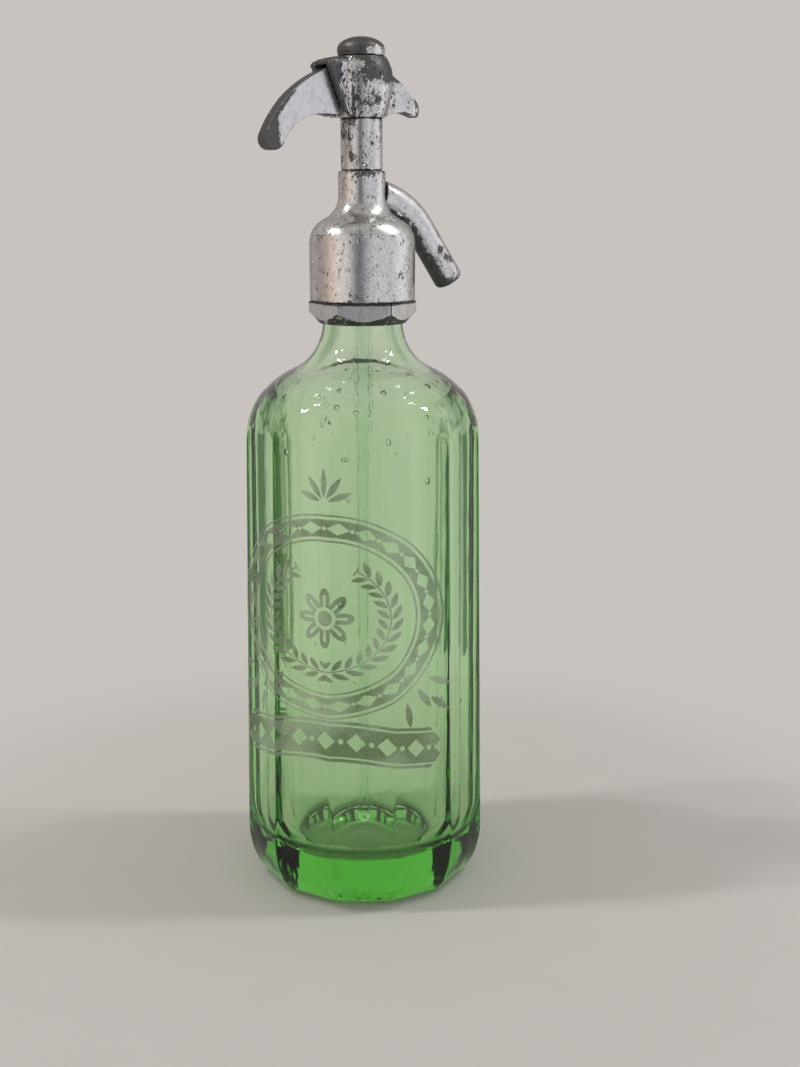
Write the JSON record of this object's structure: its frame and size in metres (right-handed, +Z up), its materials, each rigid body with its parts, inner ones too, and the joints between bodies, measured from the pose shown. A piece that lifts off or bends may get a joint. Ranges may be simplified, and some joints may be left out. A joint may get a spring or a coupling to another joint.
{
  "type": "soda siphon",
  "caption": "Soda siphon: tall fluted glass bottle with a screwed-on metal head, a curved spout and a long trigger lever that lifts a sprung valve plunger.",
  "frame": {"origin": "on the bottle's axis, in the plane that it stands on", "axes": "+Z up along the bottle's axis; +X towards the spout, so the lever points to -X"},
  "size_m": [0.0962, 0.0962, 0.3295],
  "materials": {
    "bottle_glass": "thick moulded green glass",
    "tube_glass": "clear drawn glass tube",
    "worn_plate": "worn and pitted plating on cast tin alloy",
    "dark_plate": "plating worn down to dark metal",
    "bush_metal": "dull cast tin",
    "brass": "turned brass",
    "steel": "turned steel",
    "rubber": "moulded rubber"
  },
  "bodies": {
    "siphon_body": {"bottle": "bottle_glass", "dip_tube": "tube_glass", "tube_bush": "bush_metal", "mouth_gasket": "rubber", "bush_gasket": "rubber", "collar_lever_half": "worn_plate", "collar_spout_half": "worn_plate", "head_body": "worn_plate", "spout": "worn_plate", "valve_seat": "brass", "stem_packing": "rubber", "packing_gland": "brass", "return_spring": "steel", "column": "worn_plate", "column_gasket": "rubber", "lever_housing": "worn_plate", "fulcrum_pin": "steel", "top_cap": "dark_plate", "cap_gasket": "rubber"},
    "plunger": {"valve_washer": "rubber", "valve_screw": "brass", "plunger_rod": "steel", "lift_pin": "steel", "spring_collar": "brass"},
    "lever": {"lever": "worn_plate"}
  },
  "joints": [
    {"name": "lever_pivot", "type": "hinge", "parent": "siphon_body", "child": "lever", "pos_m": [-0.008, 0, 0.30828], "axis": [0, -1, 0], "range_deg": [0, 18], "stiffness_Nm_per_rad": 0.12, "springref_deg": -45.84},
    {"name": "plunger_lift", "type": "slide", "parent": "siphon_body", "child": "plunger", "axis": [0, 0, 1], "range_m": [0, 0.00252], "deforming": ["return_spring"]}
  ],
  "couplings": [
    {"joint": "plunger_lift", "follows": "lever_pivot", "m_per_rad": 0.008}
  ]
}
